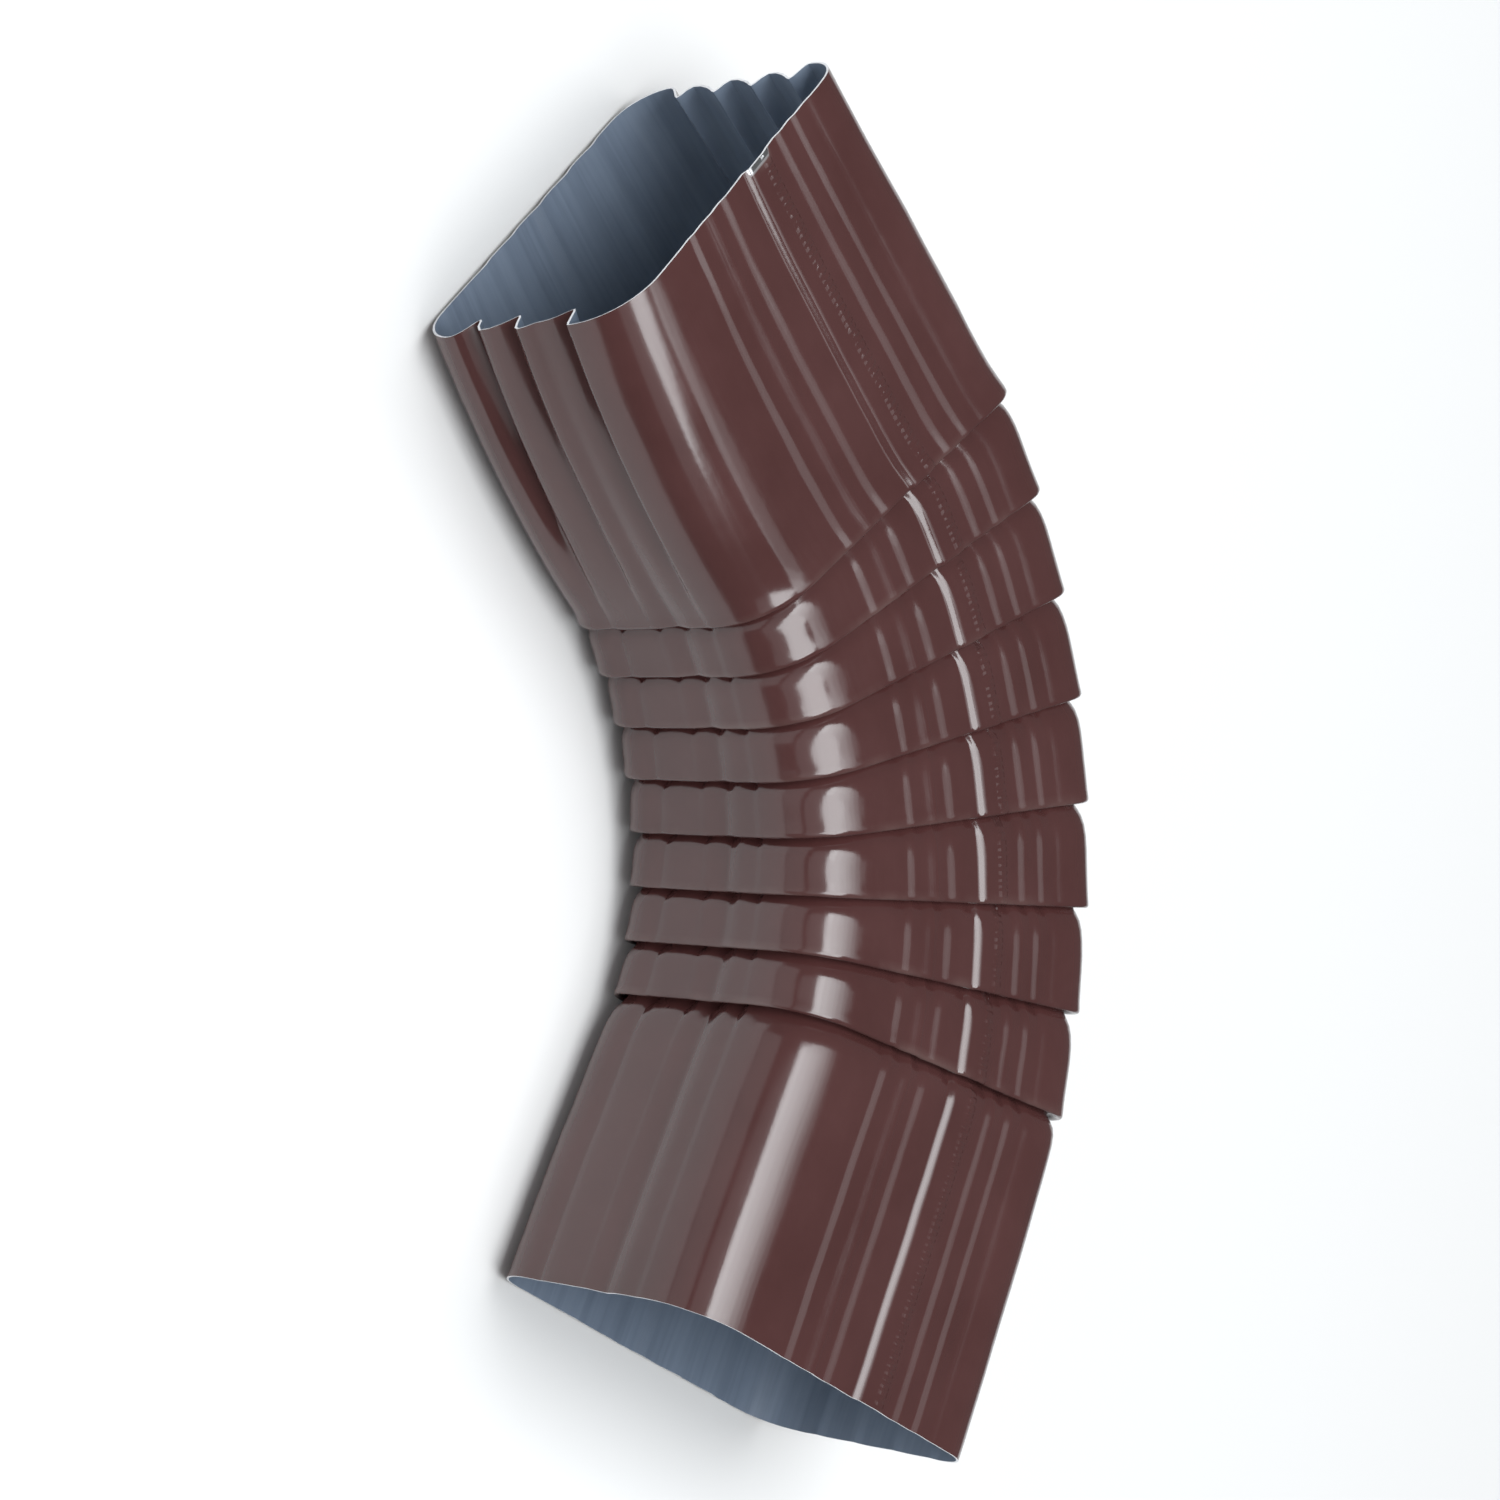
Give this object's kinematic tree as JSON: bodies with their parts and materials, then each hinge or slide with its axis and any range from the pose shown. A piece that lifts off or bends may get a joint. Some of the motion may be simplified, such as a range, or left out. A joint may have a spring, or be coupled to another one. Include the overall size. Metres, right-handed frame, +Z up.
{
  "type": "downspout elbow",
  "caption": "Rectangular sheet-metal downspout elbow, pleated round its bend, with ribbed walls, one plain end and one crimped end that slides into the next pipe.",
  "frame": {"origin": "middle of the box's footprint, on the surface that the elbow lies on", "axes": "+Z is up, square to the wide side that it lies on; the plain leg points along -Y; the crimped leg leads away towards -X and a little towards +Y"},
  "size_m": [0.1732, 0.2018, 0.0514],
  "materials": {
    "painted_sheet": "glossy dark brown paint outside, blue-grey primer inside, bare metal at the cut edges"
  },
  "bodies": {
    "root": {"elbow": "painted_sheet"}
  },
  "joints": []
}
